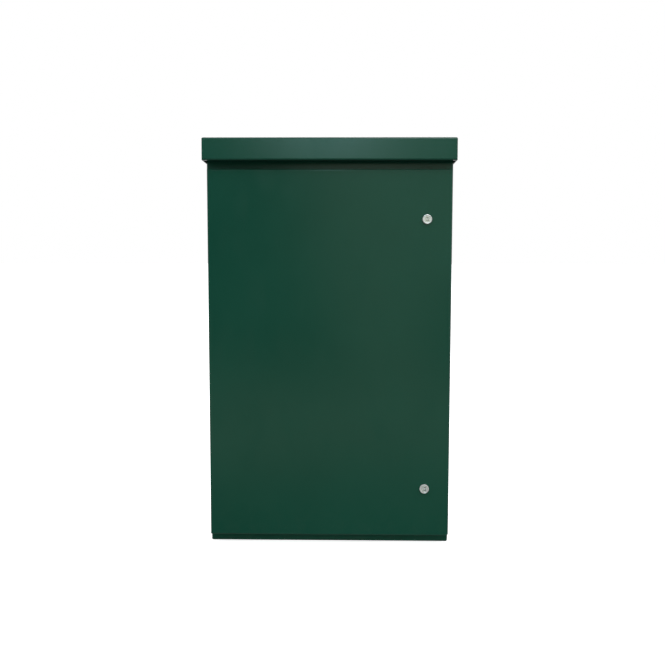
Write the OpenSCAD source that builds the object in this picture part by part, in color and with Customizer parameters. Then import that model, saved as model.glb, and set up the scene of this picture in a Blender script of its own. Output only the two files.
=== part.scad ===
// Roadside utility cabinet: a folded sheet-steel body on a base ring, a lift-off pan door on
// concealed hinges with two quarter-turn locks, and a canopy roof that sheds water to the back.
// The origin is the centre of the base on the ground; the door faces -Y and +Z is up.

/* [Body] */
// Width of the body across its side walls
body_w = 600; // [500:5:800]
// Depth of the body from its front frame to its back wall
body_d = 300; // [240:5:500]
// Height from the ground to the front edge of the roof
overall_h = 1000; // [800:5:1400]
// Thickness of the body's sheet
body_t = 2; // [1.5:0.5:3]
// Bend radius of folded sheet, to the middle of its thickness
bend_r = 3; // [2.5:0.5:5]
// Height at which the folded wrap stops above the ground
wrap_lift = 20; // [10:1:30]
// Drop from the roof's front edge to the body's top
roof_room = 30; // [26:1:50]

/* [Front frame] */
// Width of the frame on the lock side of the opening
lock_return = 36; // [30:1:44]
// How far the lip around the opening stands out of the frame
lip_out = 12; // [10:0.5:13]
// Number of vent slots in the header, behind the roof's front lip
vent_count = 8; // [2:1:12]
// Length of one vent slot
vent_len = 34; // [10:1:36]
// Height of one vent slot
vent_h = 6; // [4:0.5:6]

/* [Base ring] */
// Height of the base ring
base_h = 60; // [50:1:72]
// Width of the base ring's lower flange
base_flange = 45; // [40:1:60]
// Width of the base ring's upper flange
base_ledge = 25; // [22:1:32]
// Bend radius of the base ring, to the middle of its thickness
base_r = 5; // [3:0.5:8]
// Distance from the body's sides, front and back to the ground anchors
anchor_inset = 30; // [24:1:40]
// Diameter of an anchor hole
anchor_hole = 14; // [10:0.5:18]

/* [Floor] */
// Thickness of a floor plate
floor_t = 2; // [1.5:0.5:3]
// Length of the cable slot between the floor plates
slot_len = 400; // [200:5:440]
// Width of the cable slot between the floor plates
slot_w = 60; // [40:1:80]
// Gap where the two floor plates meet
floor_joint = 1; // [0.5:0.5:3]
// Width of the rubber edging on the cable slot
edging_w = 7; // [6:0.5:10]
// Diameter of a floor screw
floor_screw_d = 6; // [4:1:8]

/* [Door] */
// Step in from the body's side to the door's edge
door_side = 4.5; // [2:0.5:8]
// Height of the door's lower edge above the ground
door_foot = 26; // [22:0.5:34]
// Gap between the door's upper edge and the roof's lip
door_head = 19.5; // [12:0.5:30]
// Clearance between the front frame and the edges of the swinging door
swing_gap = 1; // [0.5:0.25:3]
// Depth of the door's folded sides
door_depth = 24; // [22:0.5:30]
// Thickness of the door's sheet
door_t = 2; // [1.5:0.5:3]
// How far the door laps the opening at its top and bottom
door_lap = 50; // [40:1:60]
// Width of the top of the hat-shaped stiffener
hat_w = 40; // [30:1:60]
// Depth of the hat-shaped stiffener
hat_depth = 15; // [10:1:15]

/* [Seal] */
// Radius of the seal's hollow bulb
bulb_r = 5.5; // [4.5:0.5:6]
// Wall of the seal
seal_wall = 1.5; // [1:0.25:2]
// Clearance between the seal and the closed door
seal_gap = 0.3; // [0.2:0.1:1]
// Clearance between the seal and the hinge leaves
seal_side = 4; // [2:0.5:20]

/* [Hinges] */
// Distance from the door's side to the hinge pivot
pivot_in = 9; // [8:0.5:10]
// Distance from each end of the door to the middle of a hinge
hinge_end = 120; // [90:5:180]
// Length of a hinge
hinge_len = 60; // [50:2:90]
// Thickness of a hinge leaf
leaf_t = 3; // [2:0.5:3]
// Radius of a hinge knuckle
knuckle_r = 5; // [4.5:0.25:5.5]
// Diameter of a hinge pin
pin_d = 5; // [4:0.5:6]
// Length of a hinge leaf's fixing foot
leaf_foot = 16; // [15:0.5:17]
// Distance between the two fixings of a hinge leaf
leaf_pitch = 40; // [30:2:44]
// Diameter of a hinge fixing
leaf_screw_d = 5; // [4:0.5:5]

/* [Locks] */
// Distance from the door's side to the lock's axis
lock_inset = 60; // [56:1:90]
// Distance from each end of the door to a lock's axis
lock_end = 119; // [90:1:200]
// Diameter of the lock's head
lock_head_d = 23; // [22:0.5:26]
// Height of the lock's head
lock_head_h = 4; // [3.5:0.5:6]
// Diameter of the lock's threaded barrel
barrel_d = 18; // [17:0.5:19]
// Diameter of the turning insert
insert_d = 13; // [12:0.5:14]
// Thickness of the gasket under the lock's head
lock_gasket_t = 0.8; // [0.5:0.1:1.5]
// Thickness of the lock's nut
lock_nut_t = 5; // [4:0.5:6]
// Reach of the cam from the lock's axis
cam_reach = 48; // [44:1:54]
// Width of the cam
cam_w = 18; // [14:1:20]
// Thickness of the cam
cam_t = 3; // [2:0.5:4]
// Clearance between the locked cam and the frame behind which it turns
cam_gap = 1.5; // [1:0.25:3]

/* [Roof] */
// Overhang of the roof in front of the body
roof_front = 48; // [40:1:70]
// Overhang of the roof at each side
roof_side = 4; // [3.5:0.5:10]
// Overhang of the roof at the back
roof_back = 7; // [6:0.5:20]
// Height of the roof's front lip
fascia_h = 54; // [44:1:60]
// Fall of the roof from front to back
roof_fall = 10; // [4:1:14]
// Bend radius of the roof's edges, to the outside
roof_r = 5; // [4:0.5:8]
// Depth of the safe edge folded in under the front lip
safe_edge = 12; // [10:1:20]
// Distance from the body's front and back to the middle of a roof bar
bar_inset = 40; // [32:1:70]
// Distance from the body's sides to the ends of a roof bar
bar_end = 20; // [10:1:60]
// Width of a roof bar
bar_w = 40; // [32:1:60]
// Distance from the ends of a roof bar to its bolts
bolt_inset = 60; // [20:1:120]
// Diameter of the bolts that hold the roof and the backboard
bolt_d = 8; // [6:1:8]

/* [Backboard] */
// Gap at each side of the backboard to the opening's edge
board_side = 19; // [5:1:60]
// Thickness of the plywood backboard
board_t = 12; // [9:1:18]
// Gap at each end of the backboard to the opening's edge
board_end = 24; // [10:1:60]
// Length of the spacers behind the backboard
spacer_len = 15; // [10:1:30]
// Distance from the backboard's edges to its fixings
board_fix = 25; // [18:1:60]

/* [Hidden] */
$fn = 48;

green = [0.12, 0.28, 0.23];
zinc = [0.72, 0.74, 0.75];
chrome = [0.80, 0.81, 0.82];
rubber = [0.09, 0.09, 0.10];
plywood = [0.78, 0.62, 0.42];

eps = 0.5;              // how far a cutter runs past what it cuts
fit_gap = 0.02;         // radial gap of a thread or press fit
run_gap = 0.05;         // radial gap of a running fit
hole_gap = 0.3;         // radial gap of a fixing hole

// Levels of the body and the door
body_top = overall_h - roof_room;
eave_z = overall_h - fascia_h;
door_w = body_w - 2 * door_side;
door_h = eave_z - door_head - door_foot;
door_z = door_foot + door_h / 2;
inner_w = body_w - 2 * body_t;
inner_d = body_d - 2 * body_t;

// Places ahead of the front frame, measured outward from it; the door hangs on a pivot in the
// middle of its depth, and its folded side sweeps a circle, rounded up to 0.01, that clears the frame
swing_r = ceil(100 * norm([pivot_in, door_depth / 2])) / 100;
pivot_out = swing_r + swing_gap;
door_stand = pivot_out - door_depth / 2;
door_out = door_stand + door_depth;
door_in = door_out - door_t;
pivot_x = pivot_in - door_w / 2;
hinge_zs = [door_foot + hinge_end, door_foot + door_h - hinge_end];
lock_x = door_w / 2 - lock_inset;
lock_zs = [door_foot + lock_end, door_foot + door_h - lock_end];
function front(out) = -body_d / 2 - out;

// Hinge leaves about the pivot: the elbow clears the swept circle and carries the fixing foot
leaf_y = leaf_t / 2 - knuckle_r + 0.2;
flange_y = pivot_out - door_in + leaf_t / 2;
leaf_r = max(leaf_t / 2 + fit_gap, min(leaf_t / 2 + 1, (leaf_y - flange_y) / 2 - fit_gap));
leaf_elbow_x = swing_r + swing_gap + leaf_t / 2;
leaf_end_x = leaf_elbow_x - leaf_t / 2 + leaf_foot;
leaf_fix_x = leaf_elbow_x + leaf_t / 2 + (leaf_foot - leaf_t) / 2;
half_joint = 0.75;

// Opening: it starts past the hinge leaves and the seal, and its strips meet in corner notches
relief = bend_r + body_t / 2 + 1;
open_x0 = pivot_x + leaf_end_x + seal_side + bulb_r + body_t / 2;
open_x1 = body_w / 2 - lock_return;
open_w = open_x1 - open_x0;
open_x = (open_x0 + open_x1) / 2;
open_z0 = door_foot + door_lap;
open_z1 = door_foot + door_h - door_lap;
open_h = open_z1 - open_z0;
open_z = (open_z0 + open_z1) / 2;

// Fixings: width across flats and height of a nut or head, and thickness of a washer, for a thread
function nut_af(d) = 1.6 * d;
function nut_h(d) = 0.8 * d;
function head_h(d) = 0.6 * d;
function washer_t(d) = 0.2 * d;
function unit(v) = v / norm(v);

// Top of the body and the vents under the roof's front lip
top_flange = 10;
vent_z = body_top - top_flange - vent_h / 2 - 1;

// Roof: its top falls to the back from the front edge
roof_y0 = front(roof_front);
roof_y1 = body_d / 2 + roof_back;
roof_w = body_w + 2 * roof_side;
roof_a = atan(roof_fall / (roof_y1 - roof_y0));
roof_run = (roof_y1 - roof_y0) / cos(roof_a);
bar_y = body_d / 2 - bar_inset;
bar_len = body_w - 2 * bar_end;

// Floor screws sit in the middle of the base ring's ledge
ledge_x = inner_w / 2 - (base_ledge + body_t) / 2;
ledge_y = inner_d / 2 - (base_ledge + body_t) / 2;

// Backboard, and the countersunk heads that lie just under its face
board_w = open_w - 2 * board_side;
board_h = open_h - 2 * board_end;
sunk_gap = 0.2;
sunk_z = spacer_len + board_t - sunk_gap - bolt_d / 2;
earth_len = 22;
earth_z = open_z0 + board_end / 2 - 4;

// Lock: the insert's flange turns in a well in the head, and its square end drives the cam
head_z = door_out + lock_gasket_t;
well_r = insert_d / 2 + 2.1;
well_z = head_z + lock_head_h - 2.4;
cam_z = -body_t - cam_gap - cam_t;
drive_w = 8;
cam_screw_d = 5;

// ---- Sections of folded sheet ----

// Strip of thickness t folded at right angles along the centre line pts, with bends of radius r
module folded_2d(pts, t, r) {
    last = len(pts) - 1;
    for (i = [0 : last - 1]) {
        d = unit(pts[i + 1] - pts[i]);
        a = pts[i] + d * (i > 0 ? r : 0);
        b = pts[i + 1] - d * (i < last - 1 ? r : 0);
        side = [abs(d.y), abs(d.x)] * t;
        translate([min(a.x, b.x), min(a.y, b.y)] - side / 2)
            square([abs(b.x - a.x), abs(b.y - a.y)] + side);
    }
    for (i = [1 : last - 1]) {
        come = unit(pts[i] - pts[i - 1]);
        go = unit(pts[i + 1] - pts[i]);
        reach = r + t / 2;
        translate(pts[i] + (go - come) * r)
            intersection() {
                difference() {
                    circle(reach);
                    circle(r - t / 2);
                }
                translate([come.x - go.x < 0 ? -reach : 0, come.y - go.y < 0 ? -reach : 0])
                    square(reach);
            }
    }
}

// Rectangle standing on y = 0 with its two lower corners rounded
module foot_2d(w, h, r) {
    translate([-w / 2, r]) square([w, h - r]);
    translate([r - w / 2, 0]) square([w - 2 * r, h]);
    for (s = [-1, 1]) translate([s * (w / 2 - r), r]) circle(r);
}

module rounded_rect(w, d, r) {
    square([w - 2 * r, d], center = true);
    square([w, d - 2 * r], center = true);
    for (sx = [-1, 1], sy = [-1, 1]) translate([sx * (w / 2 - r), sy * (d / 2 - r)]) circle(r);
}

// Section in Y and Z, drawn out along X
module along_x(length) {
    rotate([90, 0, 90]) linear_extrude(length, center = true) children();
}

// Section in X and Z, drawn out along Y
module along_y(length) {
    rotate([90, 0, 0]) linear_extrude(length, center = true) children();
}

// Section run round a rectangle with mitred corners: x of the section points outward, y points up
module mitred_ring(w, d, reach, low, high) {
    for (i = [0 : 3]) {
        run = i % 2 == 0 ? w : d;
        off = (i % 2 == 0 ? d : w) / 2;
        rotate([0, 0, 90 * i])
            intersection() {
                translate([0, off, 0]) along_x(run + 2 * reach + 2 * eps) children();
                translate([0, 0, low])
                    linear_extrude(high - low)
                        polygon([[-run / 2 - reach, off + reach], [run / 2 + reach, off + reach],
                                 [run / 2 - reach, off - reach], [reach - run / 2, off - reach]]);
            }
    }
}

// Block whose four lower edges are bend-rounded, and the pan folded from sheet of that shape
module folded_block(w, d, h, r) {
    intersection() {
        along_y(d + 4 * r) foot_2d(w, h, r);
        along_x(w + 4 * r) foot_2d(d, h, r);
    }
}

module pan(w, d, h, t, r) {
    difference() {
        folded_block(w, d, h, r + t / 2);
        translate([0, 0, t]) folded_block(w - 2 * t, d - 2 * t, h, r - t / 2);
    }
}

// ---- Fasteners, standing along +Z on z = 0 ----

module hex_bar(af, h) {
    cylinder(h = h, r = af / 2 / cos(30), $fn = 6);
}

module nut(d, af = 0, h = 0) {
    high = h > 0 ? h : nut_h(d);
    difference() {
        hex_bar(af > 0 ? af : nut_af(d), high);
        translate([0, 0, -eps]) cylinder(h = high + 2 * eps, r = d / 2 + fit_gap);
    }
}

module washer(d, wide, t) {
    difference() {
        cylinder(h = t, r = wide / 2);
        translate([0, 0, -eps]) cylinder(h = t + 2 * eps, r = d / 2 + hole_gap);
    }
}

// Screw whose head stands below z = 0 and whose shank runs up
module bolt(d, length) {
    translate([0, 0, -head_h(d)]) hex_bar(nut_af(d), head_h(d));
    cylinder(h = length, r = d / 2);
}

module pan_screw(d, length) {
    translate([0, 0, -head_h(d) + 1]) cylinder(h = head_h(d) - 1, r = d * 0.9);
    translate([0, 0, -head_h(d)]) cylinder(h = 1, r1 = d * 0.9 - 1, r2 = d * 0.9);
    cylinder(h = length, r = d / 2);
}

module bore(d, gap, low, high) {
    translate([0, 0, low - eps]) cylinder(h = high - low + 2 * eps, r = d / 2 + gap);
}

// ---- Places, each with its +Z the way the fixing points ----

module at_anchors() {
    for (sx = [-1, 1], sy = [-1, 1])
        translate([sx * (body_w / 2 - anchor_inset), sy * (body_d / 2 - anchor_inset), 0]) children();
}

// Four screws hold each floor plate: two on the side ledges and two on the long one
module at_floor_screws(side) {
    for (sx = [-1, 1]) {
        translate([sx * ledge_x, side * slot_w * 0.75, base_h]) children();
        translate([sx * slot_len * 0.4, side * ledge_y, base_h]) children();
    }
}

module at_roof_bolts() {
    for (sx = [-1, 1], sy = [-1, 1])
        translate([sx * (bar_len / 2 - bolt_inset), sy * bar_y, body_top]) children();
}

// Board fixings point to the front from the back wall
module at_board_screws() {
    x = board_w / 2 - board_fix;
    z = board_h / 2 - board_fix;
    for (sx = [-1, 1], sz = [-1, 1])
        translate([open_x + sx * x, inner_d / 2, open_z + sz * z]) rotate([90, 0, 0]) children();
}

module at_earth_stud() {
    translate([-body_w / 4, inner_d / 2, earth_z]) rotate([90, 0, 0]) children();
}

module at_door_earth() {
    translate([-body_w / 3, front(door_in), open_z0 + 2 * board_end]) rotate([-90, 0, 0]) children();
}

module at_hinge(i) {
    translate([pivot_x, front(pivot_out), hinge_zs[i]]) children();
}

// Hinge fixings, pointing back, on the plane that lies y behind the pivot
module at_leaf_fixings(y) {
    for (i = [0, 1], s = [-1, 1])
        at_hinge(i) translate([leaf_fix_x, y, s * leaf_pitch / 2]) rotate([-90, 0, 0]) children();
}

// The lock's own +Z points outward and starts at the front frame
module at_lock(i) {
    translate([lock_x, front(0), lock_zs[i]]) rotate([90, 0, 0]) children();
}

// ---- Body ----

module body_wrap() {
    half = body_t / 2;
    x = body_w / 2 - half;
    y = body_d / 2 - half;
    path = [[open_x0 - half, front(lip_out)], [open_x0 - half, -y], [-x, -y], [-x, y],
            [x, y], [x, -y], [open_x1 + half, -y], [open_x1 + half, front(lip_out)]];
    color(green)
        difference() {
            translate([0, 0, wrap_lift]) linear_extrude(body_top - wrap_lift) folded_2d(path, body_t, bend_r);
            // the lips stop at the opening's corners, and the strips above and below butt into the notches
            for (z = [[wrap_lift - eps, open_z0 - body_t], [open_z1 + body_t, body_top + eps]])
                translate([open_x0 - relief, front(lip_out + eps), z[0]])
                    cube([open_w + 2 * relief, lip_out + body_t + 2 * eps, z[1] - z[0]]);
            at_leaf_fixings(pivot_out) bore(leaf_screw_d, hole_gap, -eps, body_t);
        }
}

// Strip of the front frame above or below the opening: its lip stands out at the opening's edge
module frame_strip(level, lip_z) {
    difference() {
        translate([open_x, 0, 0])
            along_x(open_w + 2 * relief)
                folded_2d([[front(-body_t / 2), level], [front(-body_t / 2), lip_z], [front(lip_out), lip_z]],
                          body_t, bend_r);
        for (x = [open_x0 - relief - eps, open_x1])
            translate([x, front(lip_out + eps), lip_z - bend_r - body_t])
                cube([relief + eps, lip_out + body_t + 2 * eps, 2 * (bend_r + body_t)]);
    }
}

module sill_strip() {
    color(green) frame_strip(wrap_lift, open_z0 - body_t / 2);
}

module header_strip() {
    pitch = (open_w - vent_len) / vent_count;
    color(green)
        difference() {
            frame_strip(body_top, open_z1 + body_t / 2);
            for (i = [0 : vent_count - 1])
                translate([open_x + (i - (vent_count - 1) / 2) * pitch, front(-body_t / 2), vent_z])
                    along_y(body_t + 2 * eps) {
                        square([vent_len - vent_h, vent_h], center = true);
                        for (s = [-1, 1]) translate([s * (vent_len - vent_h) / 2, 0]) circle(vent_h / 2);
                    }
        }
}

// What is welded inside the wrap has its upright corners rounded to clear the wrap's bends
module inside_wrap(low, high) {
    intersection() {
        children();
        translate([0, 0, low]) linear_extrude(high - low) rounded_rect(inner_w, inner_d, bend_r);
    }
}

module base_ring() {
    half = body_t / 2;
    path = [[-base_flange, half], [-half, half], [-half, base_h - half], [-base_ledge, base_h - half]];
    color(green)
        difference() {
            inside_wrap(-eps, base_h + eps)
                mitred_ring(inner_w, inner_d, base_flange + eps, -eps, base_h + eps)
                    folded_2d(path, body_t, base_r);
            at_anchors() bore(anchor_hole, 0, 0, body_t);
            for (side = [-1, 1]) at_floor_screws(side) bore(floor_screw_d, hole_gap, -body_t, 0);
        }
}

module top_panel() {
    color(green)
        difference() {
            inside_wrap(body_top - top_flange - eps, body_top + eps)
                translate([0, 0, body_top])
                    mirror([0, 0, 1]) pan(inner_w, inner_d, top_flange, body_t, bend_r);
            at_roof_bolts() bore(bolt_d, hole_gap, -body_t, 0);
        }
}

// ---- Floor ----

module floor_plate(side) {
    w = inner_w - 2 * bend_r;
    d = inner_d / 2 - bend_r - floor_joint / 2;
    difference() {
        translate([-w / 2, side > 0 ? floor_joint / 2 : -floor_joint / 2 - d, base_h]) cube([w, d, floor_t]);
        translate([-slot_len / 2, -slot_w / 2, base_h - eps]) cube([slot_len, slot_w, floor_t + 2 * eps]);
        at_floor_screws(side) bore(floor_screw_d, hole_gap, 0, floor_t);
    }
}

module floor_plate_front() { color(green) floor_plate(-1); }
module floor_plate_rear() { color(green) floor_plate(1); }

// Rubber channel pushed on the slot's three edges in one floor plate
module slot_edging(side) {
    wall = (edging_w - floor_t) / 2;
    end = floor_joint / 2 + 0.2;
    difference() {
        intersection() {
            translate([0, 0, base_h + floor_t / 2 - edging_w / 2])
                difference() {
                    translate([-slot_len / 2 - edging_w, -slot_w / 2 - edging_w, 0])
                        cube([slot_len + 2 * edging_w, slot_w + 2 * edging_w, edging_w]);
                    translate([wall - slot_len / 2, wall - slot_w / 2, -eps])
                        cube([slot_len - 2 * wall, slot_w - 2 * wall, edging_w + 2 * eps]);
                }
            translate([-slot_len, side > 0 ? end : -end - slot_w, base_h - edging_w])
                cube([2 * slot_len, slot_w, 3 * edging_w]);
        }
        difference() {
            translate([-slot_len, -slot_w, base_h]) cube([2 * slot_len, 2 * slot_w, floor_t]);
            translate([-slot_len / 2, -slot_w / 2, base_h - eps]) cube([slot_len, slot_w, floor_t + 2 * eps]);
        }
    }
}

module slot_edging_front() { color(rubber) slot_edging(-1); }
module slot_edging_rear() { color(rubber) slot_edging(1); }

module floor_screws() {
    color(zinc)
        for (side = [-1, 1]) at_floor_screws(side)
            translate([0, 0, floor_t]) mirror([0, 0, 1])
                bolt(floor_screw_d, floor_t + body_t + nut_h(floor_screw_d) + 2);
}

module floor_weld_nuts() {
    color(zinc)
        for (side = [-1, 1]) at_floor_screws(side)
            translate([0, 0, -body_t - nut_h(floor_screw_d)]) nut(floor_screw_d);
}

// ---- Roof ----

// The canopy's own frame: x along its front edge, y down the slope and z out of the sheet
module roof_canopy() {
    middle = body_t / 2;
    color(green)
        translate([0, roof_y0, overall_h])
            rotate([-roof_a, 0, 0]) {
                difference() {
                    translate([0, roof_run / 2, 0])
                        mirror([0, 0, 1]) pan(roof_w, roof_run, fascia_h, body_t, roof_r - middle);
                    translate([-roof_w / 2 + body_t, -eps, -fascia_h - eps])
                        cube([roof_w - 2 * body_t, body_t + 2 * eps, safe_edge + eps]);
                }
                along_x(roof_w - 2 * body_t)
                    folded_2d([[middle, safe_edge - fascia_h], [middle, middle - fascia_h],
                               [safe_edge, middle - fascia_h]], body_t, bend_r);
            }
}

// Channel that carries the roof: its webs reach up to the sloping sheet
module roof_bar(side) {
    half = (bar_w - body_t) / 2;
    y = side * bar_y;
    z = body_t / 2;
    room = roof_room - body_t / cos(roof_a);
    color(green)
        difference() {
            translate([0, 0, body_top])
                along_x(bar_len)
                    intersection() {
                        folded_2d([[y - half, roof_room], [y - half, z], [y + half, z], [y + half, roof_room]],
                                  body_t, bend_r);
                        polygon([[roof_y0, 0], [roof_y0, room], [roof_y1, room - roof_fall], [roof_y1, 0]]);
                    }
            at_roof_bolts() bore(bolt_d, hole_gap, 0, body_t);
        }
}

module roof_bar_front() { roof_bar(-1); }
module roof_bar_rear() { roof_bar(1); }

// Bolt heads and washers sit inside the body, under the top panel
module roof_bolts() {
    color(zinc)
        at_roof_bolts() translate([0, 0, -body_t - washer_t(bolt_d)])
            bolt(bolt_d, washer_t(bolt_d) + 2 * body_t + nut_h(bolt_d) + 1);
}

module roof_washers() {
    color(zinc)
        at_roof_bolts() translate([0, 0, -body_t - washer_t(bolt_d)])
            washer(bolt_d, 2.2 * bolt_d, washer_t(bolt_d));
}

module roof_weld_nuts() {
    color(zinc) at_roof_bolts() translate([0, 0, body_t]) nut(bolt_d);
}

// ---- Backboard ----

module backboard() {
    color(plywood)
        difference() {
            translate([open_x - board_w / 2, inner_d / 2 - spacer_len - board_t, open_z - board_h / 2])
                cube([board_w, board_t, board_h]);
            at_board_screws() {
                bore(bolt_d, hole_gap, spacer_len, spacer_len + board_t);
                translate([0, 0, sunk_z])
                    cylinder(h = bolt_d / 2 + sunk_gap + eps,
                             r1 = bolt_d / 2 + run_gap, r2 = bolt_d + run_gap + sunk_gap + eps);
            }
        }
}

// Tapped spacers welded to the back wall
module backboard_spacers() {
    color(zinc)
        at_board_screws()
            difference() {
                cylinder(h = spacer_len, r = bolt_d);
                translate([0, 0, -eps]) cylinder(h = spacer_len + 2 * eps, r = bolt_d / 2 + fit_gap);
            }
}

// Countersunk screws with a hexagon socket
module backboard_screws() {
    socket = bolt_d * 0.3;
    color(zinc)
        at_board_screws()
            difference() {
                union() {
                    translate([0, 0, spacer_len * 0.15]) cylinder(h = sunk_z, r = bolt_d / 2);
                    translate([0, 0, sunk_z]) cylinder(h = bolt_d / 2, r1 = bolt_d / 2, r2 = bolt_d);
                }
                translate([0, 0, sunk_z + bolt_d / 2 - socket]) hex_bar(bolt_d * 0.625, socket + eps);
            }
}

module earth_stud() {
    color(zinc) at_earth_stud() cylinder(h = earth_len, r = bolt_d / 2);
}

module earth_nuts() {
    color(zinc) at_earth_stud() for (z = [1, nut_h(bolt_d) + 3]) translate([0, 0, z]) nut(bolt_d);
}

// ---- Seal: a channel gripping the lip with a hollow bulb on top ----

module door_seal() {
    channel = body_t / 2 + seal_wall;
    bulb_y = door_in - seal_gap - bulb_r;
    web = bulb_y - bulb_r + 0.8;
    reach = bulb_r + 1;
    color(rubber)
        translate([open_x, front(0), open_z])
            rotate([90, 0, 0])
                mitred_ring(open_w + body_t, open_h + body_t, reach, 0, door_out)
                    difference() {
                        union() {
                            translate([-channel, bend_r]) square([2 * channel, web - bend_r]);
                            translate([0, bulb_y]) circle(bulb_r);
                        }
                        translate([-body_t / 2, bend_r - eps]) square([body_t, lip_out - bend_r + eps]);
                        translate([0, bulb_y]) circle(bulb_r - seal_wall);
                    }
}

// ---- Hinges: modelled about their pivot, which is the Z axis ----

module knuckle(low, high) {
    translate([0, 0, low]) cylinder(h = high - low, r = knuckle_r);
}

module hinge_body_leaf(i) {
    foot_y = pivot_out - leaf_t / 2;
    color(zinc)
        difference() {
            at_hinge(i)
                difference() {
                    union() {
                        translate([0, 0, -hinge_len / 2])
                            linear_extrude(hinge_len)
                                folded_2d([[0, leaf_y], [leaf_elbow_x, leaf_y], [leaf_elbow_x, foot_y],
                                           [leaf_end_x, foot_y]], leaf_t, leaf_r);
                        knuckle(-hinge_len / 2, -half_joint);
                    }
                    translate([-knuckle_r, leaf_y - leaf_t, -half_joint])
                        cube([knuckle_r + leaf_elbow_x - leaf_r, 2 * leaf_t, hinge_len]);
                    bore(pin_d, fit_gap, -hinge_len / 2, 0);
                }
            at_leaf_fixings(pivot_out - leaf_t) bore(leaf_screw_d, hole_gap, 0, leaf_t);
        }
}

module hinge_body_leaf_lower() { hinge_body_leaf(0); }
module hinge_body_leaf_upper() { hinge_body_leaf(1); }

module hinge_door_leaf(i) {
    joggle_x = 2 * leaf_r + 2;
    color(zinc)
        difference() {
            at_hinge(i)
                difference() {
                    union() {
                        translate([0, 0, -hinge_len / 2])
                            linear_extrude(hinge_len)
                                folded_2d([[0, leaf_y], [joggle_x, leaf_y], [joggle_x, flange_y],
                                           [leaf_end_x, flange_y]], leaf_t, leaf_r);
                        knuckle(half_joint, hinge_len / 2);
                    }
                    translate([-knuckle_r, flange_y - leaf_t, half_joint - hinge_len])
                        cube([knuckle_r + joggle_x + leaf_r, leaf_y - flange_y + 2 * leaf_t, hinge_len]);
                    bore(pin_d, run_gap, 0, hinge_len / 2);
                }
            at_leaf_fixings(pivot_out - door_in) bore(leaf_screw_d, hole_gap, 0, leaf_t);
        }
}

module hinge_door_leaf_lower() { hinge_door_leaf(0); }
module hinge_door_leaf_upper() { hinge_door_leaf(1); }

// Pin with its head under the lower knuckle
module hinge_pin(i) {
    color(zinc)
        at_hinge(i) translate([0, 0, -hinge_len / 2]) {
            cylinder(h = hinge_len - 2, r = pin_d / 2);
            translate([0, 0, -2]) cylinder(h = 2, r = pin_d / 2 + 1.5);
        }
}

module hinge_pin_lower() { hinge_pin(0); }
module hinge_pin_upper() { hinge_pin(1); }

module hinge_thrust_washers() {
    color(rubber)
        for (i = [0, 1])
            at_hinge(i)
                translate([0, 0, -half_joint])
                    difference() {
                        cylinder(h = 2 * half_joint - 0.2, r = knuckle_r);
                        bore(pin_d, run_gap, 0, 2 * half_joint);
                    }
}

module hinge_screws() {
    color(zinc)
        at_leaf_fixings(pivot_out - leaf_t)
            pan_screw(leaf_screw_d, leaf_t + body_t + nut_h(leaf_screw_d) + 1.5);
}

module hinge_screw_nuts() {
    color(zinc) at_leaf_fixings(pivot_out + body_t) nut(leaf_screw_d);
}

// ---- Door ----

module door_panel() {
    color(green)
        difference() {
            translate([0, front(door_out), door_z])
                rotate([-90, 0, 0]) pan(door_w, door_h, door_depth, door_t, max(2, bend_r - 1));
            for (i = [0, 1]) at_lock(i) bore(barrel_d, hole_gap, door_in, door_out);
        }
}

module door_stiffener() {
    t = 1.5;
    foot = 18;
    base_y = front(door_in - t / 2);
    top_y = front(door_in - hat_depth + t / 2);
    half = (hat_w - t) / 2;
    length = open_h - 4 * (bulb_r + 10);
    color(green)
        translate([0, 0, open_z - length / 2])
            linear_extrude(length)
                folded_2d([[-half - foot, base_y], [-half, base_y], [-half, top_y],
                           [half, top_y], [half, base_y], [half + foot, base_y]], t, 2.25);
}

module door_hinge_studs() {
    color(zinc)
        at_leaf_fixings(pivot_out - door_in)
            cylinder(h = leaf_t + nut_h(leaf_screw_d) + 1, r = leaf_screw_d / 2);
}

module door_hinge_nuts() {
    color(zinc) at_leaf_fixings(pivot_out - door_in + leaf_t) nut(leaf_screw_d);
}

module door_earth_stud() {
    color(zinc) at_door_earth() cylinder(h = 14, r = 3);
}

module door_earth_nut() {
    color(zinc) at_door_earth() translate([0, 0, 3]) nut(6);
}

// ---- Locks: modelled along their axis, with z measured outward from the front frame ----

module lock_housing(i) {
    rim = 1.2;
    color(chrome)
        at_lock(i)
            difference() {
                union() {
                    translate([0, 0, head_z]) cylinder(h = lock_head_h - rim, r = lock_head_d / 2);
                    translate([0, 0, head_z + lock_head_h - rim])
                        cylinder(h = rim, r1 = lock_head_d / 2, r2 = lock_head_d / 2 - rim);
                    translate([0, 0, door_stand]) cylinder(h = head_z - door_stand + rim, r = barrel_d / 2);
                }
                bore(insert_d, 0, door_stand, head_z + lock_head_h);
                translate([0, 0, well_z]) cylinder(h = lock_head_h, r = well_r);
            }
}

module lock_housing_lower() { lock_housing(0); }
module lock_housing_upper() { lock_housing(1); }

module lock_gaskets() {
    color(rubber)
        for (i = [0, 1]) at_lock(i) translate([0, 0, door_out])
            washer(barrel_d, lock_head_d, lock_gasket_t);
}

module lock_nuts() {
    color(zinc)
        for (i = [0, 1]) at_lock(i) translate([0, 0, door_in - lock_nut_t])
            nut(barrel_d, barrel_d + 6, lock_nut_t);
}

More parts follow.
